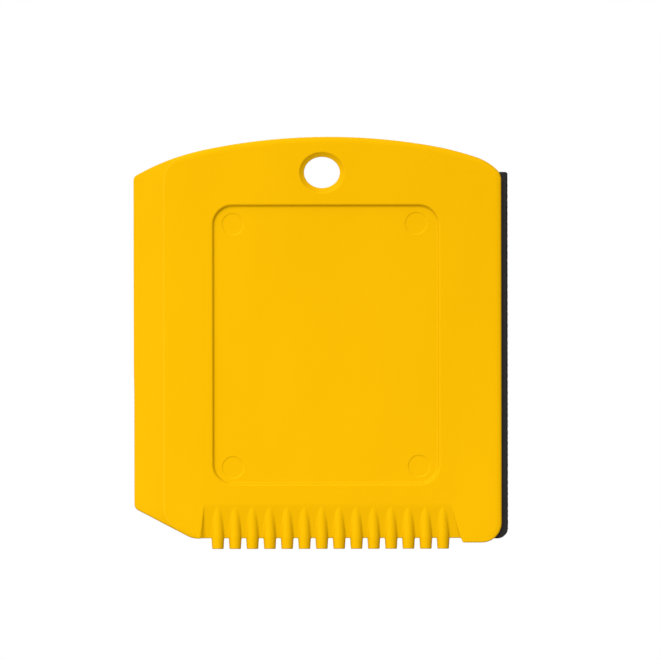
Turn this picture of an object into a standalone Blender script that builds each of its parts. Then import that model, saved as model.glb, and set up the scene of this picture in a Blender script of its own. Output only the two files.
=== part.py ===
"""A hand-held plate scraper with a rubber squeegee lip.

A flat moulded plate stands upright in the XZ plane: front face towards -Y, blade bevel on the
left edge (-X), comb of round-backed teeth along the bottom, oval hanging hole under the arched
top, shallow panel recess on both faces, and a rubber strip held in a slot in the right edge (+X).
The origin is the bottom centre of the whole object's box, on the plate's mid-plane.
The exposed edge of the rubber strip turns about a line along Z at the mouth of the slot.
"""

import math

import bmesh
import bpy
from mathutils import Matrix, Vector

MM = 0.001

# plate
PLATE_T = 5.0 * MM  # thickness
LEFT_X = -50.0 * MM  # blade edge
RIGHT_X = 48.3 * MM  # moulded right edge
ARCH_C, ARCH_R = (2.17 * MM, -51.1 * MM), 161.2 * MM  # main arc of the top
ARCH_FROM, ARCH_TO = -32.3 * MM, 31.2 * MM
SHOULDER_L_C, SHOULDER_L_R = (-19.042 * MM, 45.805 * MM), 62.0 * MM
SHOULDER_R_C, SHOULDER_R_R = (16.973 * MM, 29.756 * MM), 79.0 * MM
SHOULDER_R_TO = 40.6 * MM
TURN_R_C, TURN_R_R = (36.144 * MM, 90.922 * MM), 14.9 * MM
CORNER_TL_R = 1.6 * MM
CORNER_TR_R = 3.9 * MM
CORNER_BR_R = 5.3 * MM
FOOT_Z = 1.64 * MM  # underside of the right foot
FOOT_X = 37.9 * MM  # left end of the foot
WEB_Z = 2.85 * MM  # edge of the web between the teeth
CHAMFER_X, CHAMFER_Z = -50.0 * MM, 10.82 * MM  # where the chamfer line meets the blade edge
CHAMFER_SLOPE = -0.518  # dz/dx of the lower left chamfer
CORNER_BL_R = 1.9 * MM
CHAMFER_END_R = 5.0 * MM
EDGE_ROUND = 1.0 * MM  # rounding of the arch, right edge and foot
EDGE_BREAK = 0.3 * MM  # rounding of the chamfer edge

# blade bevel
CREASE_X = -42.05 * MM
CREASE_R = 5.6 * MM  # the crease turns away at both ends
CREASE_TOP_Z = 98.9 * MM  # start of the upper turn
CREASE_TOP_RISE = math.radians(18)  # it leaves the arch at this angle to the horizontal
BEVEL_SLOPE = 0.2  # 11 degrees: the blade edge is left 1.8 mm thick

# comb
COMB_TOP_Z = 11.6 * MM
COMB_SLOPE = 0.17
COMB_L_TOP, COMB_L_BOTTOM, COMB_L_FOOT = -31.2 * MM, -32.15 * MM, -31.2 * MM
COMB_R_TOP, COMB_R_BOTTOM, COMB_R_FOOT = 34.85 * MM, 37.35 * MM, 37.0 * MM
TEETH = 14
TOOTH_FIRST_X, TOOTH_PITCH = -27.61 * MM, 4.63 * MM
TOOTH_W, TOOTH_TIP_W = 3.46 * MM, 3.08 * MM
TOOTH_TIP_T = 4.5 * MM
TOOTH_BURIED_Z = 13.0 * MM
TOOTH_SUNK = 0.04 * MM  # the tooth's crown lies this far below the face
TOOTH_END_ROUND = 0.28 * MM

# panel recess
RECESS_X = (-29.05 * MM, 31.7 * MM)
RECESS_Z = (17.12 * MM, 92.04 * MM)
RECESS_R = 5.5 * MM
RECESS_WALL = 0.6 * MM  # run of the sloping wall
RECESS_DEPTH = 0.9 * MM
MARK_R, MARK_DEPTH = 2.87 * MM, 0.12 * MM  # ejector pin marks
MARKS = ((-23.5 * MM, 86.75 * MM), (25.5 * MM, 86.95 * MM), (-23.5 * MM, 21.8 * MM), (26.2 * MM, 22.1 * MM))

# hanging hole
HOLE_X, HOLE_Z = 0.34 * MM, 100.56 * MM
HOLE_W, HOLE_H = 9.56 * MM, 8.32 * MM
HOLE_RIM = 1.18 * MM  # width of the countersink at both faces
HOLE_RIM_STEPS = ((0.85, 0.8), (0.25, 0.4), (0.25, 0.12))  # share of that width, slope: from the bore out to the face

# slot and rubber strip
SLOT_BACK_X = 42.3 * MM
SLOT_HALF = 1.3 * MM
LIP_Z = (2.7 * MM, 100.67 * MM)
LIP_X = 50.0 * MM  # outer edge
LIP_HALF = 1.0 * MM
LIP_TIP_HALF = 0.6 * MM
LIP_BACK_X = 42.6 * MM
LIP_ROOT_TO = 48.15 * MM
LIP_BLADE_FROM = 48.5 * MM
LIP_BLADE_HALF = 0.85 * MM
LIP_BOTTOM_R = 2.9 * MM
LIP_TOP_R = 0.7 * MM
LIP_EDGE_ROUND = 0.2 * MM
LIP_PIVOT_X = 48.3 * MM
GAP = 0.3 * MM

ARC_STEP = math.radians(9)


def clear_scene():
    for obj in list(bpy.data.objects):
        bpy.data.objects.remove(obj, do_unlink=True)


def collection(name, helper=False):
    made = bpy.data.collections.new(name)
    bpy.context.scene.collection.children.link(made)
    made.hide_render = helper
    return made


def material(name, colour, roughness):
    made = bpy.data.materials.new(name)
    made.use_nodes = True
    shader = made.node_tree.nodes["Principled BSDF"]
    shader.inputs["Base Color"].default_value = (*colour, 1.0)
    shader.inputs["Roughness"].default_value = roughness
    made.diffuse_color = (*colour, 1.0)
    return made


# ---------------------------------------------------------------- outline helpers


def arc(centre, radius, start, end, step=ARC_STEP):
    """Points on a circle from angle start to angle end, both included."""
    count = max(2, math.ceil(abs(end - start) / step) + 1)
    angles = [start + (end - start) * i / (count - 1) for i in range(count)]
    return [(centre[0] + radius * math.cos(a), centre[1] + radius * math.sin(a)) for a in angles]


def arc_over(centre, radius, x_from, x_to, count):
    """Upper part of a circle between two x positions."""
    start = math.acos((x_from - centre[0]) / radius)
    end = math.acos((x_to - centre[0]) / radius)
    return arc(centre, radius, start, end, abs(end - start) / (count - 1) * 1.0001)


def corner(before, at, after, radius):
    """A rounded corner between two straight sides."""
    a = (Vector(before) - Vector(at)).normalized()
    b = (Vector(after) - Vector(at)).normalized()
    half = a.angle(b) / 2
    centre = Vector(at) + (a + b).normalized() * (radius / math.sin(half))
    p = Vector(at) + a * (radius / math.tan(half)) - centre
    q = Vector(at) + b * (radius / math.tan(half)) - centre
    start = math.atan2(p.y, p.x)
    turn = math.atan2(p.cross(q), p.dot(q))
    return arc(centre, radius, start, start + turn)


def corner_to_arc(side_x, centre, big, small):
    """A small arc inside a big one, touching it and the vertical side at side_x: its centre and the angle where it touches."""
    inward = 1 if side_x < centre[0] else -1
    x = side_x + inward * small
    z = centre[1] + math.sqrt((big - small) ** 2 - (x - centre[0]) ** 2)
    return (x, z), math.atan2(z - centre[1], x - centre[0])


def chamfer_z(x):
    return CHAMFER_Z + CHAMFER_SLOPE * (x - CHAMFER_X)


def plate_outline():
    """The plate's outline, clockwise from the foot of the blade edge, and the index range of the rounded chain."""
    web_corner_x = CHAMFER_X + (WEB_Z - CHAMFER_Z) / CHAMFER_SLOPE
    comb_end = (COMB_R_BOTTOM, WEB_Z)
    foot_left = (FOOT_X, FOOT_Z)

    points = corner((web_corner_x, WEB_Z), (LEFT_X, CHAMFER_Z), (LEFT_X, 50 * MM), CORNER_BL_R)
    small, touch = corner_to_arc(LEFT_X, SHOULDER_L_C, SHOULDER_L_R, CORNER_TL_R)
    points += arc(small, CORNER_TL_R, math.pi, touch, math.radians(12))
    chain_from = len(points) - 1
    joint_x = points[-1][0]
    points += arc_over(SHOULDER_L_C, SHOULDER_L_R, joint_x, ARCH_FROM, 6)[1:]
    points += arc_over(ARCH_C, ARCH_R, ARCH_FROM, ARCH_TO, 14)[1:]
    points += arc_over(SHOULDER_R_C, SHOULDER_R_R, ARCH_TO, SHOULDER_R_TO, 5)[1:]
    small, touch = corner_to_arc(RIGHT_X, TURN_R_C, TURN_R_R, CORNER_TR_R)
    begin = math.acos((SHOULDER_R_TO - TURN_R_C[0]) / TURN_R_R)
    points += arc(TURN_R_C, TURN_R_R, begin, touch)[1:]
    points += arc(small, CORNER_TR_R, touch, 0.0)[1:]
    points += corner((RIGHT_X, 50 * MM), (RIGHT_X, FOOT_Z), foot_left, CORNER_BR_R)
    points.append(foot_left)
    chain_to = len(points) - 1
    points.append(comb_end)
    points += corner(comb_end, (web_corner_x, WEB_Z), (LEFT_X, CHAMFER_Z), CHAMFER_END_R)
    return points, chain_from, chain_to


# ---------------------------------------------------------------- mesh helpers


def place(name, mesh, where, matrix=None):
    obj = bpy.data.objects.new(name, mesh)
    where.objects.link(obj)
    if matrix is not None:
        obj.matrix_world = matrix
    return obj


def upright(y=0.0):
    """Lays a flat outline drawn in XY into the XZ plane at this y."""
    return Matrix.Translation((0, y, 0)) @ Matrix.Rotation(math.pi / 2, 4, "X")


def flat_solid(name, points, half, where, y=0.0):
    """A plate of the given outline in the XZ plane, from a filled and extruded 2D curve."""
    data = bpy.data.curves.new(name, "CURVE")
    data.dimensions = "2D"
    data.fill_mode = "BOTH"
    data.extrude = half
    spline = data.splines.new("POLY")
    spline.points.add(len(points) - 1)
    for point, (x, z) in zip(spline.points, points):
        point.co = (x, z, 0, 1)
    spline.use_cyclic_u = True
    curve = place(name + "_curve", data, where, upright(y))
    bpy.context.view_layer.update()
    graph = bpy.context.evaluated_depsgraph_get()
    mesh = bpy.data.meshes.new_from_object(curve.evaluated_get(graph))
    mesh.name = name
    bm = bmesh.new()
    bm.from_mesh(mesh)
    bmesh.ops.remove_doubles(bm, verts=bm.verts, dist=1e-6)
    bmesh.ops.dissolve_limit(bm, angle_limit=math.radians(0.5), verts=bm.verts, edges=bm.edges, delimit={"NORMAL"})
    bmesh.ops.recalc_face_normals(bm, faces=bm.faces)
    bm.to_mesh(mesh)
    bm.free()
    obj = place(name, mesh, where, curve.matrix_world.copy())
    bpy.data.objects.remove(curve, do_unlink=True)
    return obj


def from_bmesh(name, bm, where, matrix=None):
    bmesh.ops.recalc_face_normals(bm, faces=bm.faces)
    mesh = bpy.data.meshes.new(name)
    bm.to_mesh(mesh)
    bm.free()
    return place(name, mesh, where, matrix)


def boolean(obj, other, operation):
    cut = obj.modifiers.new(other.name, "BOOLEAN")
    cut.operation = operation
    cut.object = other
    cut.solver = "EXACT"
    return cut


def realise(obj, sharp=math.radians(32)):
    """Makes the object's evaluated shape its own mesh, shaded smooth apart from its hard edges."""
    bpy.context.view_layer.update()
    graph = bpy.context.evaluated_depsgraph_get()
    mesh = bpy.data.meshes.new_from_object(obj.evaluated_get(graph))
    mesh.name = obj.name
    obj.modifiers.clear()
    obj.data = mesh
    bm = bmesh.new()
    bm.from_mesh(mesh)
    bmesh.ops.remove_doubles(bm, verts=bm.verts, dist=2e-6)
    bmesh.ops.dissolve_degenerate(bm, dist=1e-6, edges=bm.edges)
    bmesh.ops.dissolve_limit(bm, angle_limit=math.radians(0.2), verts=bm.verts, edges=bm.edges, delimit={"NORMAL"})
    bmesh.ops.triangulate(bm, faces=bm.faces)
    bm.to_mesh(mesh)
    bm.free()
    mesh.shade_smooth()
    mesh.set_sharp_from_angle(angle=sharp)


# ---------------------------------------------------------------- the moulded plate


def rounded_plate(where):
    """The plate's outline with its edges rounded on both faces."""
    points, first, last = plate_outline()
    body = flat_solid("scraper_body", points, PLATE_T / 2, where)
    bm = bmesh.new()
    bm.from_mesh(body.data)

    def index_of(co):
        return min(range(len(points)), key=lambda i: (points[i][0] - co.x) ** 2 + (points[i][1] - co.y) ** 2)

    def rim(keep):
        chosen = []
        for edge in bm.edges:
            a, b = edge.verts
            if abs(a.co.z - b.co.z) > 1e-6 or abs(abs(a.co.z) - PLATE_T / 2) > 1e-6:
                continue
            ia, ib = sorted((index_of(a.co), index_of(b.co)))
            if keep(ia, ib):
                chosen.append(edge)
        return chosen

    broad = rim(lambda a, b: first <= a and b <= last)
    fine = rim(lambda a, b: a > last + 1 or (a == 0 and b > last))
    bmesh.ops.bevel(bm, geom=broad, offset=EDGE_ROUND, offset_type="OFFSET", segments=4, profile=0.5, affect="EDGES", clamp_overlap=False)
    bm.edges.ensure_lookup_table()
    if fine:
        fine = [edge for edge in fine if edge.is_valid]
        bmesh.ops.bevel(bm, geom=fine, offset=EDGE_BREAK, offset_type="OFFSET", segments=2, profile=0.5, affect="EDGES", clamp_overlap=False)
    bm.to_mesh(body.data)
    bm.free()
    return body


def blade_cutter(name, side, where):
    """A wedge swept along the crease, so that the bevel turns round its two ends. side is -1 for the front, 1 for the back."""
    reach = 16.0 * MM
    over = 1.5 * MM
    path = arc((CREASE_X + CREASE_R, CREASE_TOP_Z), CREASE_R, math.pi / 2 + CREASE_TOP_RISE, math.pi, math.radians(10))
    away = Vector((math.cos(CREASE_TOP_RISE), math.sin(CREASE_TOP_RISE))) * 8 * MM
    path.insert(0, tuple(Vector(path[0]) + away))
    meet = (CREASE_X, chamfer_z(CREASE_X))
    far = (CREASE_X + 12 * MM, chamfer_z(CREASE_X + 12 * MM) - 1 * MM)
    path += corner((CREASE_X, 50 * MM), meet, far, CREASE_R)
    path.append(far)
    bm = bmesh.new()
    rings = []
    for i, p in enumerate(path):
        here = Vector(p)
        before = (here - Vector(path[i - 1])).normalized() if i else None
        after = (Vector(path[i + 1]) - here).normalized() if i < len(path) - 1 else None
        along = ((before or after) + (after or before)).normalized()
        out = Vector((along.y, -along.x))
        stretch = 1 / max(0.5, out.dot(Vector(((after or before).y, -(after or before).x))))
        tip = here + out * reach * stretch
        face = side * PLATE_T / 2
        ring = [
            bm.verts.new((here.x, face + side * over, here.y)),
            bm.verts.new((here.x, face, here.y)),
            bm.verts.new((tip.x, face - side * reach * BEVEL_SLOPE, tip.y)),
            bm.verts.new((tip.x, face + side * over, tip.y)),
        ]
        rings.append(ring)
    for a, b in zip(rings, rings[1:]):
        for k in range(4):
            bm.faces.new((a[k], a[(k + 1) % 4], b[(k + 1) % 4], b[k]))
    bm.faces.new(rings[0])
    bm.faces.new(list(reversed(rings[-1])))
    return from_bmesh(name, bm, where)


def comb_cutter(name, side, where):
    """The sloping floor of the comb and the walls at its two ends."""
    over = 1.5 * MM
    low = -2.0 * MM
    run = (COMB_TOP_Z - low) / (COMB_TOP_Z - WEB_Z)

    def down(top, bottom):
        return top + (bottom - top) * run

    face = side * PLATE_T / 2
    floor = face - side * COMB_SLOPE * (COMB_TOP_Z - low)
    bm = bmesh.new()
    for x, y, z in (
        (COMB_L_TOP, face, COMB_TOP_Z),
        (COMB_R_TOP, face, COMB_TOP_Z),
        (COMB_L_TOP, face + side * over, COMB_TOP_Z),
        (COMB_R_TOP, face + side * over, COMB_TOP_Z),
        (down(COMB_L_TOP, COMB_L_BOTTOM), face, low),
        (down(COMB_R_TOP, COMB_R_BOTTOM), face, low),
        (down(COMB_L_TOP, COMB_L_BOTTOM), face + side * over, low),
        (down(COMB_R_TOP, COMB_R_BOTTOM), face + side * over, low),
        (down(COMB_L_TOP, COMB_L_FOOT), floor, low),
        (down(COMB_R_TOP, COMB_R_FOOT), floor, low),
    ):
        bm.verts.new((x, y, z))
    bmesh.ops.convex_hull(bm, input=bm.verts)
    return from_bmesh(name, bm, where)


def tooth_row(where):
    """One round-backed tooth, tapering to its tip, and its copies along the comb."""
    segments = 20
    bm = bmesh.new()
    bmesh.ops.create_circle(bm, cap_ends=True, segments=segments, radius=TOOTH_W / 2, matrix=Matrix.Rotation(math.pi / segments, 4, "Z"))
    straight = PLATE_T / 2 - TOOTH_SUNK - TOOTH_W / 2 * math.cos(math.pi / segments)
    for vert in bm.verts:
        vert.co.y += math.copysign(straight, vert.co.y)
        vert.co.z = TOOTH_BURIED_Z
    top = bm.faces[:]

    lower = bmesh.ops.extrude_face_region(bm, geom=top)["geom"]
    for item in lower:
        if isinstance(item, bmesh.types.BMVert):
            item.co.z = WEB_Z
    cap = [item for item in lower if isinstance(item, bmesh.types.BMFace)]
    tip = bmesh.ops.extrude_face_region(bm, geom=cap)["geom"]
    for item in tip:
        if isinstance(item, bmesh.types.BMVert):
            item.co.x *= TOOTH_TIP_W / TOOTH_W
            item.co.y *= TOOTH_TIP_T / PLATE_T
            item.co.z = 0.0
    bmesh.ops.delete(bm, geom=[face for face in cap if face.is_valid], context="FACES_ONLY")
    end = [face for face in bm.faces if all(abs(v.co.z) < 1e-7 for v in face.verts)]
    edges = {edge for face in end for edge in face.edges}
    bmesh.ops.bevel(bm, geom=list(edges), offset=TOOTH_END_ROUND, offset_type="OFFSET", segments=2, profile=0.5, affect="EDGES")
    tooth = from_bmesh("comb_tooth", bm, where, Matrix.Translation((TOOTH_FIRST_X, 0, 0)))
    row = tooth.modifiers.new("row", "ARRAY")
    row.count = TEETH
    row.use_relative_offset = False
    row.use_constant_offset = True
    row.constant_offset_displace = (TOOTH_PITCH, 0, 0)
    return tooth


def recess_cutter(name, side, where):
    """A rounded rectangle pocket with sloping walls."""
    over = 0.6 * MM
    slope = RECESS_WALL / RECESS_DEPTH

    def outline(inset):
        x0, x1 = RECESS_X[0] + inset, RECESS_X[1] - inset
        z0, z1 = RECESS_Z[0] + inset, RECESS_Z[1] - inset
        r = RECESS_R - inset
        step = math.radians(10)
        return (
            arc((x0 + r, z0 + r), r, math.pi, 1.5 * math.pi, step)
            + arc((x1 - r, z0 + r), r, 1.5 * math.pi, 2 * math.pi, step)
            + arc((x1 - r, z1 - r), r, 0, 0.5 * math.pi, step)
            + arc((x0 + r, z1 - r), r, 0.5 * math.pi, math.pi, step)
        )

    levels = ((-over, -over * slope), (RECESS_DEPTH * 0.8, RECESS_WALL * 0.8 * 0.8), (RECESS_DEPTH, RECESS_WALL))
    bm = bmesh.new()
    rings = [[bm.verts.new((x, side * (PLATE_T / 2 - depth), z)) for x, z in outline(inset)] for depth, inset in levels]
    for a, b in zip(rings, rings[1:]):
        for k in range(len(a)):
            bm.faces.new((a[k], a[(k + 1) % len(a)], b[(k + 1) % len(a)], b[k]))
    bm.faces.new(rings[0])
    bm.faces.new(list(reversed(rings[-1])))
    return from_bmesh(name, bm, where)


def mark_cutters(where):
    """Four shallow ejector pin marks in the floor of the front recess."""
    floor = -(PLATE_T / 2 - RECESS_DEPTH)
    made = []
    for number, (x, z) in enumerate(MARKS, 1):
        bm = bmesh.new()
        height = 0.5 * MM
        bmesh.ops.create_cone(bm, cap_ends=True, segments=40, radius1=MARK_R, radius2=MARK_R, depth=height)
        made.append(from_bmesh(f"ejector_mark_{number}", bm, where, Matrix.Translation((x, floor + MARK_DEPTH - height / 2, z)) @ Matrix.Rotation(math.pi / 2, 4, "X")))
    return made


def hole_cutter(where):
    """A round profile turned about the hole's axis, then stretched to an oval. It flares at both faces, so that it leaves a countersunk rim."""
    radius = HOLE_H / 2
    half = PLATE_T / 2
    over = 0.4 * MM
    depth = HOLE_RIM * sum(share * slope for share, slope in HOLE_RIM_STEPS)
    r, y = radius, half - depth
    rim = [(r, y)]
    for share, slope in HOLE_RIM_STEPS:
        r, y = r + share * HOLE_RIM, y + share * HOLE_RIM * slope
        rim.append((r, y))
    clear = 0.05 * MM  # the last slope carries on past the face, so that the cut is clean
    rim[-1] = (r + clear / HOLE_RIM_STEPS[-1][1], y + clear)
    rim += [(rim[-1][0], half + over), (0.0, half + over)]
    profile = [(r, -y) for r, y in reversed(rim)] + rim
    mesh = bpy.data.meshes.new("hanging_hole")
    mesh.from_pydata([(r, 0, h) for r, h in profile], [(i, i + 1) for i in range(len(profile) - 1)], [])
    lathe = place("hanging_hole", mesh, where)
    screw = lathe.modifiers.new("turn", "SCREW")
    screw.axis = "Z"
    screw.steps = screw.render_steps = 48
    screw.use_merge_vertices = True
    screw.merge_threshold = 1e-6
    screw.use_normal_calculate = True
    bpy.context.view_layer.update()
    graph = bpy.context.evaluated_depsgraph_get()
    turned = bpy.data.meshes.new_from_object(lathe.evaluated_get(graph))
    bpy.data.objects.remove(lathe, do_unlink=True)
    bm = bmesh.new()
    bm.from_mesh(turned)
    bmesh.ops.remove_doubles(bm, verts=bm.verts, dist=1e-7)
    bmesh.ops.scale(bm, vec=(HOLE_W / HOLE_H, 1, 1), verts=bm.verts)
    return from_bmesh("hanging_hole", bm, where, Matrix.Translation((HOLE_X, 0, HOLE_Z)) @ Matrix.Rotation(math.pi / 2, 4, "X"))


def slot_cutter(where):
    """The slot in the right edge that holds the rubber strip."""
    bm = bmesh.new()
    bmesh.ops.create_cube(bm, size=1.0)
    far = LIP_X + 4 * MM
    size = (far - SLOT_BACK_X, 2 * SLOT_HALF, LIP_Z[1] - LIP_Z[0] + 2 * GAP)
    bmesh.ops.scale(bm, vec=size, verts=bm.verts)
    centre = ((far + SLOT_BACK_X) / 2, 0, (LIP_Z[0] + LIP_Z[1]) / 2)
    return from_bmesh("lip_slot", bm, where, Matrix.Translation(centre))


# ---------------------------------------------------------------- the rubber strip


def lip_outline(x_from, x_to):
    """Outline of the strip between two x positions, with its outer corners rounded. Clockwise."""
    low, high = LIP_Z
    step = math.radians(12)
    cx, cz = LIP_X - LIP_BOTTOM_R, low + LIP_BOTTOM_R
    tx, tz = LIP_X - LIP_TOP_R, high - LIP_TOP_R
    points = [(x_from, high)]
    if x_to > tx:
        points += arc((tx, tz), LIP_TOP_R, math.pi / 2, 0.0, step)
    else:
        points.append((x_to, high))
    end = -math.acos(min(1.0, (x_to - cx) / LIP_BOTTOM_R))
    if x_from > cx:
        begin = -math.acos((x_from - cx) / LIP_BOTTOM_R)
        points += arc((cx, cz), LIP_BOTTOM_R, end, begin, step)
    else:
        points += arc((cx, cz), LIP_BOTTOM_R, end, -math.pi / 2, step)
        points.append((x_from, low))
    return points


def lip_root(where):
    obj = flat_solid("squeegee_lip_root", lip_outline(LIP_BACK_X, LIP_ROOT_TO), LIP_HALF, where)
    return obj


def lip_blade(where):
    """The exposed edge, thinner at its tip, with its origin on the line it bends about."""
    obj = flat_solid("squeegee_lip_blade", lip_outline(LIP_BLADE_FROM, LIP_X), LIP_BLADE_HALF, where)
    bm = bmesh.new()
    bm.from_mesh(obj.data)
    bmesh.ops.transform(bm, matrix=obj.matrix_world, verts=bm.verts)
    for vert in bm.verts:
        share = (vert.co.x - LIP_BLADE_FROM) / (LIP_X - LIP_BLADE_FROM)
        vert.co.y *= 1 + share * (LIP_TIP_HALF / LIP_BLADE_HALF - 1)
    bmesh.ops.translate(bm, vec=(-LIP_PIVOT_X, 0, 0), verts=bm.verts)
    bm.to_mesh(obj.data)
    bm.free()
    obj.matrix_world = Matrix.Translation((LIP_PIVOT_X, 0, 0))
    soft = obj.modifiers.new("edge", "BEVEL")
    soft.width = LIP_EDGE_ROUND
    soft.segments = 2
    soft.limit_method = "ANGLE"
    soft.angle_limit = math.radians(40)
    return obj


def main():
    clear_scene()
    parts = collection("hand_scraper")
    cutters = collection("cutters", helper=True)

    yellow = material("moulded_plastic", (0.93, 0.5, 0.008), 0.42)
    black = material("rubber", (0.022, 0.021, 0.02), 0.7)

    body = rounded_plate(parts)
    for side, tag in ((-1, "front"), (1, "back")):
        boolean(body, blade_cutter(f"blade_bevel_{tag}", side, cutters), "DIFFERENCE")
        boolean(body, comb_cutter(f"comb_floor_{tag}", side, cutters), "DIFFERENCE")
        boolean(body, recess_cutter(f"panel_recess_{tag}", side, cutters), "DIFFERENCE")
    for mark in mark_cutters(cutters):
        boolean(body, mark, "DIFFERENCE")
    boolean(body, hole_cutter(cutters), "DIFFERENCE")
    boolean(body, slot_cutter(cutters), "DIFFERENCE")
    boolean(body, tooth_row(cutters), "UNION")
    realise(body)
    body.data.materials.clear()
    body.data.materials.append(yellow)

    root = lip_root(parts)
    realise(root)
    root.data.materials.clear()
    root.data.materials.append(black)

    blade = lip_blade(parts)
    realise(blade)
    blade.data.materials.clear()
    blade.data.materials.append(black)

    for obj in cutters.objects:
        obj.hide_render = True
        obj.display_type = "WIRE"


main()
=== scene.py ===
"""Visual model of the hand scraper: a moulded plate and its rubber lip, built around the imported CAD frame.

Both pieces are meshed from smooth distance functions in millimetres, so every edge carries the small
rounding that a moulded or extruded part has. Places and sizes start from the CAD boxes.
"""

import math

import bpy
import numpy as np
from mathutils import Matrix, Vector


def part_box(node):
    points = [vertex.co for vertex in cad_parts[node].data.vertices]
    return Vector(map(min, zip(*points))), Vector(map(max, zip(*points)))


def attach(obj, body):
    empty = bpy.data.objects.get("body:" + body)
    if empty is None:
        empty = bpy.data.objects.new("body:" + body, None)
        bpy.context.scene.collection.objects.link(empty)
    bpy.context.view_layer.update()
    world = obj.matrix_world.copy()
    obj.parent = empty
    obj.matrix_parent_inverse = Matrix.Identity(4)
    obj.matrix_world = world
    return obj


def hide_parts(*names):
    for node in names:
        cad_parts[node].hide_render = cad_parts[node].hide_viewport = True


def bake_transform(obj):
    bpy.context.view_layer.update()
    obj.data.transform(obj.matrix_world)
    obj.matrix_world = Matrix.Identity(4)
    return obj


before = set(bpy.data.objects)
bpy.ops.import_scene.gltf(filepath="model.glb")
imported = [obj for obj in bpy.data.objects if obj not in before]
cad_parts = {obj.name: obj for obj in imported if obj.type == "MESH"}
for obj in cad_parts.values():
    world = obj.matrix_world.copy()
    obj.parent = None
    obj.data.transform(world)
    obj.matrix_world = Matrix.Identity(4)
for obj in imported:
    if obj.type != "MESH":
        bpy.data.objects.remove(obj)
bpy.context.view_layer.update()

MM = 0.001

# ---------------------------------------------------------------- sizes, in mm, from the CAD boxes


def box_mm(node):
    low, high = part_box(node)
    return np.array(low) / MM, np.array(high) / MM


body_low, body_high = box_mm("scraper_body")
root_low, root_high = box_mm("squeegee_lip_root")
blade_low, blade_high = box_mm("squeegee_lip_blade")

LEFT = body_low[0]  # blade edge
RIGHT = body_high[0] - 0.06  # moulded right edge
HALF_T = body_high[1]  # half of the plate's thickness
LIP_OUT = blade_high[0] - 0.06
LIP_LOW, LIP_HIGH = root_low[2], root_high[2]
LIP_BACK = root_low[0]
LIP_HALF = root_high[1]
LIP_TIP_HALF = 0.6

ARCH_C, ARCH_R = (LEFT + 51.9, -51.1), 161.2
SHOULDER_L_R, SHOULDER_R_R, TURN_R = 63.0, 84.0, 14.9
JOINT_L_X, JOINT_R_X, JOINT_TURN_X = LEFT + 18.7, LEFT + 78.6, LEFT + 91.5
CORNER_TL, CORNER_TR, CORNER_BR, CORNER_BL = 1.6, 3.9, 5.3, 1.9
FOOT_Z, WEB_Z = 1.64, 2.87
FOOT_X, WALL_WEB_X = LEFT + 87.85, LEFT + 87.35
CHAMFER_Z0, CHAMFER_SLOPE = 10.88, -0.518

CREASE = LEFT + 8.15
CREASE_R, CREASE_TOP, CREASE_RISE = 7.0, 98.0, math.radians(20)
CREASE_LOW_R, CREASE_LOW = 5.6, 11.0  # the turn at the lower end, and where it begins
BEVEL = 0.2

COMB_TOP, COMB_SLOPE = 11.6, 0.15
TEETH, TOOTH_X0, TOOTH_PITCH = 14, LEFT + 22.39, 4.63
TOOTH_HALF, TOOTH_TIP_HALF = 1.73, 1.54

REC_X = (LEFT + 21.25, LEFT + 81.4)  # middle of the recess walls
REC_Z = (17.42, 91.74)
REC_R, REC_DEPTH, REC_DRAFT = 5.2, 0.9, math.tan(math.radians(20))
MARKS = ((LEFT + 26.5, 86.75), (LEFT + 75.5, 86.95), (LEFT + 26.5, 21.8), (LEFT + 76.2, 22.1))
MARK_R, MARK_DEPTH = 2.87, 0.15

HOLE = (LEFT + 50.34, 100.56)
HOLE_A, HOLE_B, HOLE_RIM = 4.78, 4.16, 1.3

# ---------------------------------------------------------------- distance function tools


def smoothstep(a, b, v):
    t = np.clip((v - a) / (b - a), 0.0, 1.0)
    return t * t * (3 - 2 * t)


def smax(a, b, k):
    h = np.maximum(k - np.abs(a - b), 0.0) / k
    return np.maximum(a, b) + h * h * k * 0.25


def smin(a, b, k):
    return -smax(-a, -b, k)


def round_max(a, b, r):
    """Both shapes, with an edge of radius r where they meet."""
    u, v = np.maximum(a + r, 0.0), np.maximum(b + r, 0.0)
    return np.minimum(np.maximum(a, b), -r) + np.sqrt(u * u + v * v)


def round_min(a, b, r):
    """Either shape, with a root of radius r where they meet."""
    return -round_max(-a, -b, r)


class Loop:
    """A closed convex outline of straight sides and arcs that run smoothly into one another. Angles are those of the outward normal."""

    def __init__(self, sides, arcs):
        self.sides = [(math.cos(a), math.sin(a), h) for a, h in sides]
        self.arcs = arcs

    def __call__(self, x, z):
        shape = np.broadcast_shapes(np.shape(x), np.shape(z))
        best = np.full(shape, -1e3)
        for nx, nz, h in self.sides:
            best = np.maximum(best, nx * x + nz * z - h)
        for (cx, cz), r, lo, hi in self.arcs:
            dx, dz = x - cx, z - cz
            mid, half = (lo + hi) / 2, (hi - lo) / 2
            turn = np.arctan2(dz * math.cos(mid) - dx * math.sin(mid), dx * math.cos(mid) + dz * math.sin(mid))
            best = np.where(np.abs(turn) <= half + 1e-6, np.maximum(best, np.hypot(dx, dz) - r), best)
        return best


def side_through(angle, point):
    return angle, math.cos(angle) * point[0] + math.sin(angle) * point[1]


def corner_centre(side_a, side_b, r):
    """Centre of the arc of radius r inside two sides given as (angle, offset)."""
    (a, h), (b, k) = side_a, side_b
    m = np.array([[math.cos(a), math.sin(a)], [math.cos(b), math.sin(b)]])
    return tuple(np.linalg.solve(m, np.array([h - r, k - r])))


PI = math.pi
chamfer_angle = PI + math.atan2(1.0, -CHAMFER_SLOPE)  # outward normal of the lower left chamfer
side_left = (PI, -LEFT)
side_right = (0.0, RIGHT)
side_foot = (1.5 * PI, -FOOT_Z)
side_chamfer = side_through(chamfer_angle, (LEFT, CHAMFER_Z0))


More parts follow.
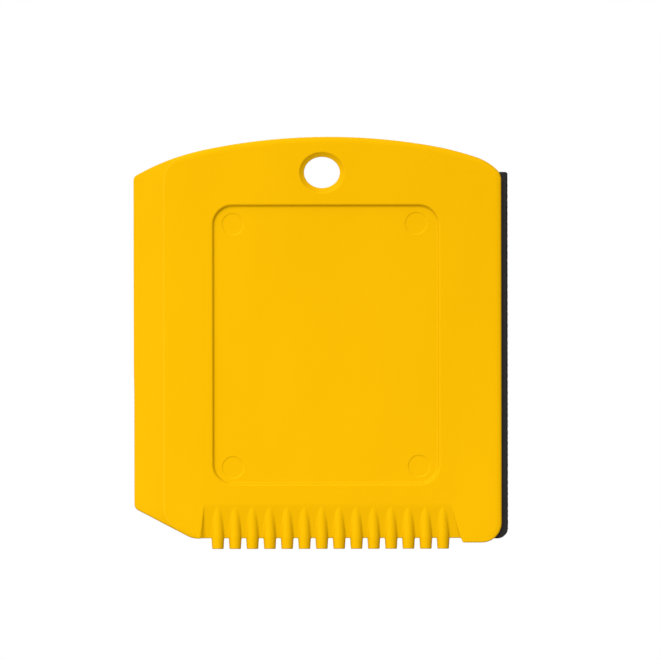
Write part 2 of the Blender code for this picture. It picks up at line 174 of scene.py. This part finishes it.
def plate_loop():
    """The plate's outline without the step between the comb and the foot."""
    arcs = []
    left_joint = math.acos((JOINT_L_X - ARCH_C[0]) / ARCH_R)
    right_joint = math.acos((JOINT_R_X - ARCH_C[0]) / ARCH_R)
    arcs.append((ARCH_C, ARCH_R, right_joint, left_joint))

    def follow(centre, big, angle, small):
        return (centre[0] + (big - small) * math.cos(angle), centre[1] + (big - small) * math.sin(angle))

    shoulder_l = follow(ARCH_C, ARCH_R, left_joint, SHOULDER_L_R)
    x = LEFT + CORNER_TL
    z = shoulder_l[1] + math.sqrt((SHOULDER_L_R - CORNER_TL) ** 2 - (x - shoulder_l[0]) ** 2)
    touch = math.atan2(z - shoulder_l[1], x - shoulder_l[0])
    arcs.append((shoulder_l, SHOULDER_L_R, left_joint, touch))
    arcs.append(((x, z), CORNER_TL, touch, PI))

    shoulder_r = follow(ARCH_C, ARCH_R, right_joint, SHOULDER_R_R)
    turn_joint = math.acos((JOINT_TURN_X - shoulder_r[0]) / SHOULDER_R_R)
    arcs.append((shoulder_r, SHOULDER_R_R, turn_joint, right_joint))
    turn = follow(shoulder_r, SHOULDER_R_R, turn_joint, TURN_R)
    x = RIGHT - CORNER_TR
    z = turn[1] + math.sqrt((TURN_R - CORNER_TR) ** 2 - (x - turn[0]) ** 2)
    touch = math.atan2(z - turn[1], x - turn[0])
    arcs.append((turn, TURN_R, touch, turn_joint))
    arcs.append(((x, z), CORNER_TR, 0.0, touch))

    arcs.append((corner_centre(side_foot, side_right, CORNER_BR), CORNER_BR, 1.5 * PI, 2 * PI))
    arcs.append((corner_centre(side_left, side_chamfer, CORNER_BL), CORNER_BL, PI, chamfer_angle))
    arcs.append((corner_centre(side_chamfer, side_foot, 5.0), 5.0, chamfer_angle, 1.5 * PI))
    return Loop([side_left, side_right, side_foot, side_chamfer], arcs)


def crease_loop():
    """The flat of the face, left of which the blade bevel falls away. The crease turns off at both ends."""
    side = (PI, -CREASE)
    centre = (CREASE + CREASE_R, CREASE_TOP)
    top_angle = PI / 2 + CREASE_RISE
    top = side_through(top_angle, (centre[0] + CREASE_R * math.cos(top_angle), centre[1] + CREASE_R * math.sin(top_angle)))
    low_angle = chamfer_angle + math.radians(3)
    low = side_through(low_angle, (CREASE, CREASE_LOW - CREASE_LOW_R * math.tan((low_angle - PI) / 2)))
    return Loop(
        [side, top, low],
        [(centre, CREASE_R, top_angle, PI), (corner_centre(side, low, CREASE_LOW_R), CREASE_LOW_R, PI, low_angle)],
    )


plate_2d = plate_loop()
crease_2d = crease_loop()


def outline(x, z):
    wall = (WALL_WEB_X - x) + (z - WEB_Z) * (FOOT_X - WALL_WEB_X) / (WEB_Z - FOOT_Z) * -1.0
    left_end = smoothstep(LEFT + 20.0, LEFT + 18.4, x)
    web = WEB_Z - 0.1 * smoothstep(LEFT + 18.2, LEFT + 17.4, x)
    notch = round_min(web - z, wall * 0.91, 0.35)  # the comb's web ends here, or the foot begins
    worn = 0.12 * smoothstep(50.0, 40.0, z) * smoothstep(LEFT + 12.0, LEFT + 3.0, x)  # the lower half of the blade edge is worn back a little
    return smax(plate_2d(x - worn, z), notch, 0.3 + 0.4 * left_end)


def rounded_box(x, z, xs, zs, r):
    dx = np.abs(x - (xs[0] + xs[1]) / 2) - (xs[1] - xs[0]) / 2 + r
    dz = np.abs(z - (zs[0] + zs[1]) / 2) - (zs[1] - zs[0]) / 2 + r
    return np.hypot(np.maximum(dx, 0), np.maximum(dz, 0)) + np.minimum(np.maximum(dx, dz), 0) - r


def ellipse(x, z, centre, a, b):
    u, v = x - centre[0], z - centre[1]
    k1 = np.hypot(u / a, v / b)
    k2 = np.hypot(u / (a * a), v / (b * b)) + 1e-9
    return k1 * (k1 - 1) / k2


def plate(x, y, z):
    """The moulded plate: negative inside, in mm."""
    q = np.abs(y) - HALF_T

    # faces, with the blade bevel; towards the arch and the rubber lip they fall off in a soft curve
    upper = np.where(z > 50, smoothstep(-41.0, -35.5, x), smoothstep(36.0, 44.0, x) * smoothstep(FOOT_Z, FOOT_Z + 3.5, z))
    off = np.maximum(plate_2d(x, z) + 1.65, 0.0)
    q = q + 0.12 * upper * off * off
    bevel = (q + BEVEL * crease_2d(x, z)) / math.hypot(1, BEVEL)
    face = smax(q, bevel, 0.06)

    # comb floor and its end walls
    drop = np.maximum(COMB_TOP - z, 0.0)
    depth = COMB_SLOPE * drop
    floor = (q + COMB_SLOPE * (COMB_TOP - z)) / math.hypot(1, COMB_SLOPE)
    down = (COMB_TOP - z) / (COMB_TOP - WEB_Z)
    run = np.clip(down, 0.0, 1.6)
    sunk = np.clip(-q, -0.2, 2.6) / (COMB_SLOPE * (COMB_TOP - WEB_Z))
    wall_l = ((LEFT + 18.8 - 0.95 * run + 0.7 * sunk * np.clip(run, 0, 1)) - x) * 0.94
    wall_r = (x - (LEFT + 84.85 + 2.45 * run - 0.35 * sunk)) * 0.94
    root_l = np.clip(0.8 * depth, 0.03, 1.2)
    root_r = np.clip(0.25 * depth, 0.03, 0.4)
    pocket = round_max(-floor, wall_l, root_l)
    pocket = round_max(pocket, wall_r, root_r)
    face = smax(face, -pocket, 0.12 + np.clip(0.35 * depth, 0.0, 0.45))

    # panel recess on both faces, ejector pin marks on the front only
    wall = (rounded_box(x, z, REC_X, REC_Z, REC_R) - (q + REC_DEPTH / 2) * REC_DRAFT) / math.hypot(1, REC_DRAFT)
    near = np.full(np.broadcast_shapes(np.shape(x), np.shape(z)), 1e3)
    for mx, mz in MARKS:
        near = np.minimum(near, np.hypot(x - mx, z - mz))
    mark = np.where(y < 0, MARK_DEPTH * smoothstep(MARK_R + 0.16, MARK_R - 0.16, near), 0.0)
    recess = round_max(wall, -(q + REC_DEPTH + mark), 0.34)
    face = round_max(face, -recess, 0.38)

    # side walls; the edges are rounded a little more along the arch, the chamfer and the right edge than elsewhere
    arch = smoothstep(-41.0, -35.5, x) * smoothstep(90.0, 97.0, z)
    low = smoothstep(38.0, 39.0, x) + smoothstep(-33.0, -34.0, x) * smoothstep(FOOT_Z, FOOT_Z + 1.0, z)
    fine = np.where(z > 50, 0.25 + 0.15 * np.maximum(arch, smoothstep(44.5, 47.5, x)), 0.22 + 0.18 * np.clip(low, 0.0, 1.0))
    shape = round_max(outline(x, z), face, fine)

    # hanging hole with a countersunk rim, a little hollow: steepest where it leaves the face
    bore = -ellipse(x, z, HOLE, HOLE_A, HOLE_B)
    t = bore + HOLE_RIM
    rim = q + t - 0.17 * np.clip(t, 0.0, 1.6) ** 2
    shape = smax(round_max(shape, bore, 0.12), rim / 1.3, 0.1)

    # comb teeth: round-backed bars that rise out of the comb floor
    number = np.clip(np.round((x - TOOTH_X0) / TOOTH_PITCH), 0, TEETH - 1)
    u = x - (TOOTH_X0 + number * TOOTH_PITCH)
    taper = np.clip((WEB_Z + 0.4 - z) / (WEB_Z + 0.4), 0.0, 1.2)
    half = TOOTH_HALF + (TOOTH_TIP_HALF - TOOTH_HALF) * taper
    crown = HALF_T - 0.02 - 0.22 * taper - 0.022 * np.maximum(z - 9.2, 0.0)
    bar = np.hypot(u, np.maximum(np.abs(y) - (crown - half), 0.0)) - half
    bar = round_max(bar, -z, 0.22)
    bar = np.maximum(bar, z - 13.5)
    root = 0.2 * smoothstep(11.6, 9.0, z) + 0.01
    shape = round_min(shape, bar, root)

    # slot for the rubber strip
    slot = np.maximum(np.maximum((LIP_BACK - 0.15) - x, np.abs(y) - (LIP_HALF + 0.08)), np.maximum(z - LIP_HIGH - 0.1, LIP_LOW - 0.1 - z))
    return round_max(shape, -slot, 0.22)


lip_2d = Loop(
    [(PI, -LIP_BACK), (0.0, LIP_OUT), (1.5 * PI, -LIP_LOW), (PI / 2, LIP_HIGH)],
    [
        ((LIP_OUT - 0.7, LIP_HIGH - 0.7), 0.7, 0.0, PI / 2),
        ((LIP_OUT - 2.9, LIP_LOW + 2.9), 2.9, 1.5 * PI, 2 * PI),
        ((LIP_BACK + 0.3, LIP_HIGH - 0.3), 0.3, PI / 2, PI),
        ((LIP_BACK + 0.3, LIP_LOW + 0.3), 0.3, PI, 1.5 * PI),
    ],
)


def lip(x, y, z):
    """The rubber strip: even in the slot, thinner towards its cut edge, which is a little uneven along its length."""
    ragged = 0.022 * np.sin(z * 4.19 + 0.7 * np.sin(z * 1.3)) + 0.016 * np.sin(z * 2.37 + 1.1) + 0.012 * np.sin(z * 9.1 + 2.0 * np.sin(z * 0.61))
    share = np.clip((x - RIGHT) / (LIP_OUT - RIGHT), 0.0, 1.0)
    half = LIP_HALF + (LIP_TIP_HALF - LIP_HALF) * share
    flat = (np.abs(y) - half) * 0.975
    edge = lip_2d(x, z) + 0.02 + ragged * smoothstep(RIGHT, LIP_OUT, x)
    return round_max(edge, flat, 0.16 + 0.26 * smoothstep(RIGHT + 0.5, LIP_OUT, x))


# ---------------------------------------------------------------- meshing


def spaced(*runs):
    """Grid lines: each run is (start, end, step)."""
    lines = []
    for start, end, step in runs:
        count = max(1, round((end - start) / step))
        lines += [start + (end - start) * i / count for i in range(count)]
    return np.array(lines + [runs[-1][1]])


def gradient(f, p, h=2e-3):
    g = np.empty_like(p)
    for axis in range(3):
        a, b = p.copy(), p.copy()
        a[:, axis] += h
        b[:, axis] -= h
        g[:, axis] = (f(a[:, 0], a[:, 1], a[:, 2]) - f(b[:, 0], b[:, 1], b[:, 2])) / (2 * h)
    return g


def mesh_from(name, f, xs, ys, zs):
    """A closed mesh of f's zero surface: one vertex per grid cell that it crosses, moved onto the surface."""
    values = f(xs[:, None, None], ys[None, :, None], zs[None, None, :])
    values = np.ascontiguousarray(np.broadcast_to(values, (len(xs), len(ys), len(zs))))
    inside = values < 0
    grid = (xs, ys, zs)
    cells = np.array([len(xs) - 1, len(ys) - 1, len(zs) - 1])
    total = int(cells.prod())
    stride = np.array([cells[1] * cells[2], cells[2], 1])
    sums, count = np.zeros((3, total)), np.zeros(total)
    quads = []
    for axis in range(3):
        low = [slice(None)] * 3
        high = [slice(None)] * 3
        low[axis], high[axis] = slice(0, -1), slice(1, None)
        crossing = inside[tuple(low)] != inside[tuple(high)]
        at = np.argwhere(crossing)
        a = values[tuple(low)][crossing]
        b = values[tuple(high)][crossing]
        t = a / (a - b)
        point = [grid[k][at[:, k]] for k in range(3)]
        point[axis] = point[axis] + t * (grid[axis][at[:, axis] + 1] - grid[axis][at[:, axis]])
        one, two = [k for k in range(3) if k != axis]
        ring = []
        for d1, d2 in ((-1, -1), (0, -1), (0, 0), (-1, 0)):
            cell = at.copy()
            cell[:, one] += d1
            cell[:, two] += d2
            ids = cell @ stride
            ring.append(ids)
            for k in range(3):
                sums[k] += np.bincount(ids, weights=point[k], minlength=total)
            count += np.bincount(ids, minlength=total)
        quad = np.stack(ring, 1)
        flip = (a < 0) != (axis == 1)
        quad[~flip] = quad[~flip][:, ::-1]
        quads.append(quad)
    used = np.flatnonzero(count)
    index = np.full(total, -1)
    index[used] = np.arange(len(used))
    p = (sums[:, used] / count[used]).T
    faces = index[np.concatenate(quads)]
    for _ in range(5):
        g = gradient(f, p)
        v = f(p[:, 0], p[:, 1], p[:, 2])
        step = g * (v / np.maximum((g * g).sum(1), 0.05))[:, None]
        size = np.linalg.norm(step, axis=1)
        step *= np.minimum(1.0, 0.25 / np.maximum(size, 1e-9))[:, None]
        p = p - step
    mesh = bpy.data.meshes.new(name)
    mesh.vertices.add(len(p))
    mesh.vertices.foreach_set("co", (p * MM).astype(np.float32).ravel())
    mesh.loops.add(len(faces) * 4)
    mesh.loops.foreach_set("vertex_index", faces.astype(np.int32).ravel())
    mesh.polygons.add(len(faces))
    mesh.polygons.foreach_set("loop_start", np.arange(0, len(faces) * 4, 4, dtype=np.int32))
    mesh.update(calc_edges=True)
    # seams cut the surface into tiles, so that merging flat faces never makes one huge polygon
    ends = np.empty(len(mesh.edges) * 2, np.int32)
    mesh.edges.foreach_get("vertices", ends)
    seam = np.zeros(len(mesh.edges), bool)
    for line in (used // stride[0], used % cells[2]):
        tile = line[ends.reshape(-1, 2)]
        seam |= (tile[:, 0] == tile[:, 1]) & (tile[:, 0] % 12 == 0)
    mesh.edges.foreach_set("use_seam", seam)
    return mesh


def merge_flats(obj, angle):
    """Merges neighbouring faces that lie in one plane, then cuts the result into triangles."""
    flat = obj.modifiers.new("flats", "DECIMATE")
    flat.decimate_type = "DISSOLVE"
    flat.delimit = {"SEAM"}
    flat.angle_limit = angle
    cut = obj.modifiers.new("cut", "TRIANGULATE")
    cut.keep_custom_normals = False
    bpy.context.view_layer.update()
    graph = bpy.context.evaluated_depsgraph_get()
    mesh = bpy.data.meshes.new_from_object(obj.evaluated_get(graph))
    obj.modifiers.clear()
    old = obj.data
    obj.data = mesh
    name = old.name
    bpy.data.meshes.remove(old)
    mesh.name = name


def take_normals(obj, f):
    """Shades the mesh with the exact normals of the surface it stands for."""
    mesh = obj.data
    co = np.empty(len(mesh.vertices) * 3, np.float32)
    mesh.vertices.foreach_get("co", co)
    g = gradient(f, co.reshape(-1, 3).astype(float) / MM)
    g /= np.maximum(np.linalg.norm(g, axis=1), 1e-9)[:, None]
    mesh.shade_smooth()
    mesh.normals_split_custom_set_from_vertices([tuple(n) for n in g])


def add_piece(name, mesh):
    obj = bpy.data.objects.new(name, mesh)
    bpy.context.scene.collection.objects.link(obj)
    return obj


comb_steps = 0.2
plate_x = spaced(
    (LEFT - 0.45, LEFT + 0.6, 0.15),
    (LEFT + 0.6, -43.6, 0.42),
    (-43.6, -40.4, 0.25),
    (-40.4, -33.4, 0.4),
    (-33.4, 35.0, comb_steps),
    (35.0, 38.8, 0.2),
    (38.8, 41.4, 0.4),
    (41.4, RIGHT + 0.4, 0.2),
)
plate_y = spaced((-HALF_T - 0.31, HALF_T + 0.29, 0.2))
plate_z = spaced(
    (-0.43, 12.4, 0.2),
    (12.4, 16.6, 0.6),
    (16.6, 18.6, 0.2),
    (18.6, 25.6, 0.2),
    (25.6, 83.4, 2.6),
    (83.4, 90.6, 0.2),
    (90.6, 92.8, 0.2),
    (92.8, 95.0, 0.4),
    (95.0, body_high[2] + 0.4, 0.24),
)
plate_mesh = mesh_from("scraper_plate", plate, plate_x, plate_y, plate_z)
scraper = add_piece("scraper_plate", plate_mesh)
merge_flats(scraper, math.radians(0.12))
take_normals(scraper, plate)

lip_x = spaced((LIP_BACK - 0.3, LIP_BACK + 0.7, 0.25), (LIP_BACK + 0.7, 47.2, 0.9), (47.2, LIP_OUT + 0.3, 0.13))
lip_y = spaced((-LIP_HALF - 0.21, LIP_HALF + 0.2, 0.13))
lip_z = spaced((LIP_LOW - 0.3, LIP_LOW + 4.0, 0.16), (LIP_LOW + 4.0, LIP_HIGH - 1.2, 0.3), (LIP_HIGH - 1.2, LIP_HIGH + 0.3, 0.15))
rubber = add_piece("squeegee_lip", mesh_from("squeegee_lip", lip, lip_x, lip_y, lip_z))
take_normals(rubber, lip)

# ---------------------------------------------------------------- materials


class Nodes:
    """A short way to wire a material's nodes."""

    def __init__(self, name):
        self.material = bpy.data.materials.new(name)
        self.material.use_nodes = True
        self.tree = self.material.node_tree
        self.shader = self.tree.nodes["Principled BSDF"]

    def add(self, kind, **values):
        node = self.tree.nodes.new(kind)
        for key, value in values.items():
            if key in node.inputs:
                node.inputs[key].default_value = value
            else:
                setattr(node, key, value)
        return node

    def link(self, a, b):
        self.tree.links.new(a, b)

    def noise(self, where, scale, detail=2.0, rough=0.5):
        node = self.add("ShaderNodeTexNoise", Scale=scale, Detail=detail, Roughness=rough)
        self.link(where, node.inputs["Vector"])
        return node.outputs["Fac"]

    def stretch(self, where, scale):
        node = self.add("ShaderNodeMapping")
        node.inputs["Scale"].default_value = scale
        self.link(where, node.inputs["Vector"])
        return node.outputs["Vector"]

    def span(self, value, low, high, out_low, out_high):
        node = self.add("ShaderNodeMapRange")
        for key, number in (("From Min", low), ("From Max", high), ("To Min", out_low), ("To Max", out_high)):
            node.inputs[key].default_value = number
        self.link(value, node.inputs["Value"])
        return node.outputs["Result"]

    def mix(self, factor, a, b):
        node = self.add("ShaderNodeMix", data_type="RGBA")
        node.inputs["A"].default_value = (*a, 1)
        node.inputs["B"].default_value = (*b, 1)
        self.link(factor, node.inputs["Factor"])
        return node.outputs["Result"]

    def toned_bounce(self, seen, bounced):
        """The colour as it is seen, and a calmer one for the light that it throws back onto its own walls."""
        node = self.add("ShaderNodeMix", data_type="RGBA")
        self.link(self.add("ShaderNodeLightPath").outputs["Is Diffuse Ray"], node.inputs["Factor"])
        self.link(seen, node.inputs["A"])
        node.inputs["B"].default_value = (*bounced, 1)
        return node.outputs["Result"]

    def maths(self, operation, a, b):
        node = self.add("ShaderNodeMath", operation=operation)
        for slot, value in enumerate((a, b)):
            if isinstance(value, (int, float)):
                node.inputs[slot].default_value = value
            else:
                self.link(value, node.inputs[slot])
        return node.outputs[0]

    def beyond(self, where, x_edge, turn, r, way):
        """Distance in metres past a line that runs along z at x_edge, up to z = turn, and there turns off to the right. Way is 1 for upwards."""
        parts = self.add("ShaderNodeSeparateXYZ")
        self.link(where, parts.inputs[0])
        side = self.maths("MAXIMUM", self.maths("SUBTRACT", x_edge + r, parts.outputs["X"]), 0.0)
        over = self.maths("MAXIMUM", self.maths("MULTIPLY", self.maths("SUBTRACT", parts.outputs["Z"], turn), way), 0.0)
        square = self.maths("ADD", self.maths("MULTIPLY", side, side), self.maths("MULTIPLY", over, over))
        past = self.maths("SUBTRACT", self.maths("SQRT", square, 0.0), r)
        fade = self.maths("SUBTRACT", self.maths("MULTIPLY", side, 0.5), 0.001)  # nothing to the right of the turn
        return self.maths("MINIMUM", past, fade)

    def bump(self, height, distance, strength, below=None):
        node = self.add("ShaderNodeBump", Distance=distance, Strength=strength)
        self.link(height, node.inputs["Height"])
        if below is not None:
            self.link(below, node.inputs["Normal"])
        return node.outputs["Normal"]


def moulded_plastic():
    """Opaque satin polypropylene: a fine spark-eroded grain, faint flow mottling and a slightly uneven sheen; the blade
    bevel is painted a shade darker as shade, the crease carries a painted highlight, and the colour holds a painted
    shading gradient.
    """
    n = Nodes("moulded_plastic_yellow")
    here = n.add("ShaderNodeTexCoord").outputs["Object"]
    flow = n.noise(n.stretch(here, (1.0, 1.0, 0.45)), 38.0, 3.0, 0.55)
    speck = n.noise(here, 2600.0, 2.0, 0.6)
    tone = n.maths("ADD", n.maths("MULTIPLY", flow, 0.8), n.maths("MULTIPLY", speck, 0.2))
    body = n.mix(n.span(tone, 0.3, 0.7, 0.0, 1.0), (0.926, 0.484, 0.0004), (0.963, 0.510, 0.0008))
    upwards = n.beyond(here, CREASE * MM, CREASE_TOP * MM, CREASE_R * MM, 1.0)
    downwards = n.beyond(here, CREASE * MM, CREASE_LOW * MM, CREASE_LOW_R * MM, -1.0)
    past = n.maths("MAXIMUM", upwards, downwards)
    crease_highlight = n.add("ShaderNodeMix", data_type="RGBA")  # painted highlight: the crease itself is painted a little paler
    n.link(n.maths("MULTIPLY", n.span(past, -0.0002, 0.00005, 0.0, 1.0), n.span(past, 0.00015, 0.0004, 1.0, 0.0)), crease_highlight.inputs["Factor"])
    n.link(body, crease_highlight.inputs["A"])
    crease_highlight.inputs["B"].default_value = (0.955, 0.510, 0.005, 1)
    body = crease_highlight.outputs["Result"]
    # painted shade: left of the crease, on the blade bevel, the colour is darkened to 95 %
    painted_shade = n.span(past, 0.00012, 0.00042, 1.0, 0.951)
    shade_gradient = n.add("ShaderNodeVectorMath", operation="DOT_PRODUCT")  # painted shade: the colour is darkened a trace towards the top right and lightened towards the bottom left, as the light falls
    n.link(here, shade_gradient.inputs[0])
    shade_gradient.inputs[1].default_value = (-0.26, 0.0, -0.34)
    painted_shade = n.maths("MULTIPLY", painted_shade, n.maths("ADD", shade_gradient.outputs["Value"], 1.026))
    shaded_body = n.add("ShaderNodeVectorMath", operation="SCALE")
    n.link(body, shaded_body.inputs[0])
    n.link(painted_shade, shaded_body.inputs["Scale"])
    n.link(n.toned_bounce(shaded_body.outputs[0], (0.42, 0.33, 0.0)), n.shader.inputs["Base Color"])
    sheen = n.noise(here, 420.0, 4.0, 0.6)
    n.link(n.span(sheen, 0.3, 0.7, 0.40, 0.50), n.shader.inputs["Roughness"])
    grain = n.noise(here, 5200.0, 3.0, 0.6)
    n.link(n.bump(flow, 0.0002, 0.25, n.bump(grain, 0.000012, 0.5)), n.shader.inputs["Normal"])
    n.shader.inputs["Specular IOR Level"].default_value = 0.32
    n.shader.inputs["Specular Tint"].default_value = (1.0, 0.76, 0.04, 1)
    return n.material


def black_rubber():
    """Extruded black rubber: matt and a little dusty, with drawn lines along its length; towards the cut edge the
    colour is painted darker as shade.
    """
    n = Nodes("rubber_black")
    here = n.add("ShaderNodeTexCoord").outputs["Object"]
    drawn = n.noise(n.stretch(here, (1.0, 1.0, 0.02)), 5200.0, 3.0, 0.6)
    dust = n.noise(here, 900.0, 5.0, 0.65)
    tone = n.maths("ADD", n.maths("MULTIPLY", drawn, 0.45), n.maths("MULTIPLY", dust, 0.55))
    body = n.mix(n.span(tone, 0.35, 0.68, 0.0, 1.0), (0.0108, 0.0088, 0.0072), (0.0250, 0.0202, 0.0161))
    parts = n.add("ShaderNodeSeparateXYZ")
    n.link(here, parts.inputs[0])
    # painted shade: the colour darkens to 40 % over the last half millimetre before the cut edge
    edge_shade = n.add("ShaderNodeVectorMath", operation="SCALE")
    n.link(body, edge_shade.inputs[0])
    n.link(n.span(parts.outputs["X"], (LIP_OUT - 0.55) * MM, (LIP_OUT - 0.2) * MM, 1.0, 0.4), edge_shade.inputs["Scale"])
    n.link(edge_shade.outputs[0], n.shader.inputs["Base Color"])
    n.link(n.span(dust, 0.3, 0.7, 0.58, 0.74), n.shader.inputs["Roughness"])
    pores = n.noise(here, 3800.0, 3.0, 0.6)
    n.link(n.bump(drawn, 0.00003, 0.5, n.bump(pores, 0.00002, 0.6)), n.shader.inputs["Normal"])
    n.shader.inputs["Specular IOR Level"].default_value = 0.35
    return n.material


def pale_floor():
    n = Nodes("pale_floor")
    here = n.add("ShaderNodeTexCoord").outputs["Object"]
    n.link(n.mix(n.noise(here, 14.0, 3.0, 0.5), (0.86, 0.86, 0.86), (0.88, 0.88, 0.88)), n.shader.inputs["Base Color"])
    n.shader.inputs["Roughness"].default_value = 0.8
    return n.material


scraper.data.materials.clear()
scraper.data.materials.append(moulded_plastic())
rubber.data.materials.clear()
rubber.data.materials.append(black_rubber())

# ---------------------------------------------------------------- how the pieces ride

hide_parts("scraper_body")
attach(scraper, "scraper")

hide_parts("squeegee_lip_root", "squeegee_lip_blade")
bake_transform(rubber)

# ---------------------------------------------------------------- floor, light and camera

floor_mesh = bpy.data.meshes.new("floor")
floor_mesh.from_pydata([(-4, -4, 0), (4, -4, 0), (4, 4, 0), (-4, 4, 0)], [], [(0, 1, 2, 3)])
floor = add_piece("floor", floor_mesh)
floor.location = (0, 0, -0.0001)
floor.visible_diffuse = False
floor.visible_glossy = False
floor.data.materials.append(pale_floor())

scene = bpy.context.scene
scene.view_settings.view_transform = "Standard"
scene.view_settings.look = "None"
scene.view_settings.exposure = 0.0
scene.view_settings.gamma = 1.0

# the studio: a white backdrop, soft light that grows towards the upper left front, and a broad key from there
TO_LIGHT = Vector((-0.34, -0.75, 0.54)).normalized()
SKY_EVEN, SKY_SLOPE = 0.40, 0.37
world = bpy.data.worlds.new("studio")
scene.world = world
world.use_nodes = True
tree = world.node_tree
back = tree.nodes["Background"]
back.inputs["Color"].default_value = (1, 1, 1, 1)
where = tree.nodes.new("ShaderNodeTexCoord")
towards = tree.nodes.new("ShaderNodeVectorMath")
towards.operation = "DOT_PRODUCT"
towards.inputs[1].default_value = TO_LIGHT
tree.links.new(where.outputs["Generated"], towards.inputs[0])
glow = tree.nodes.new("ShaderNodeMapRange")
for key, number in (("From Min", -1.0), ("From Max", 1.0), ("To Min", SKY_EVEN - SKY_SLOPE), ("To Max", SKY_EVEN + SKY_SLOPE)):
    glow.inputs[key].default_value = number
tree.links.new(towards.outputs["Value"], glow.inputs["Value"])
tree.links.new(glow.outputs["Result"], back.inputs["Strength"])
seen = tree.nodes.new("ShaderNodeBackground")
seen.inputs["Color"].default_value = (1, 1, 1, 1)
path = tree.nodes.new("ShaderNodeLightPath")
mixer = tree.nodes.new("ShaderNodeMixShader")
tree.links.new(path.outputs["Is Camera Ray"], mixer.inputs["Fac"])
tree.links.new(back.outputs[0], mixer.inputs[1])
tree.links.new(seen.outputs[0], mixer.inputs[2])
tree.links.new(mixer.outputs[0], tree.nodes["World Output"].inputs["Surface"])

centre = Vector((0.0, 0.0, 0.055))


def lamp(name, kind, place, watts, **values):
    data = bpy.data.lights.new(name, kind)
    data.energy = watts
    for key, value in values.items():
        setattr(data, key, value)
    obj = bpy.data.objects.new(name, data)
    scene.collection.objects.link(obj)
    obj.location = place
    obj.rotation_euler = (centre - Vector(place)).to_track_quat("-Z", "Y").to_euler()
    return obj


lamp("key", "SUN", centre + TO_LIGHT * 2, 1.50, angle=math.radians(36))
lamp("rear", "SUN", centre + Vector((-0.6, 1.7, 1.0)), 1.7, angle=math.radians(55))
lamp("side", "AREA", (-0.36, -0.40, 0.0), 0.60, shape="SQUARE", size=0.30)

camera = bpy.data.cameras.new("camera")
camera_obj = bpy.data.objects.new("camera", camera)
scene.collection.objects.link(camera_obj)
camera.type = "ORTHO"
camera.clip_end = 20
PX = 3.743  # the view's scale, in pixels of a 660 pixel frame per mm
camera.ortho_scale = 660 / PX * MM
camera_obj.location = ((330 - 320.85) / PX * MM, -1.2, (548.85 - 330) / PX * MM)
camera_obj.rotation_euler = (math.pi / 2, math.radians(0.09), 0)
scene.camera = camera_obj
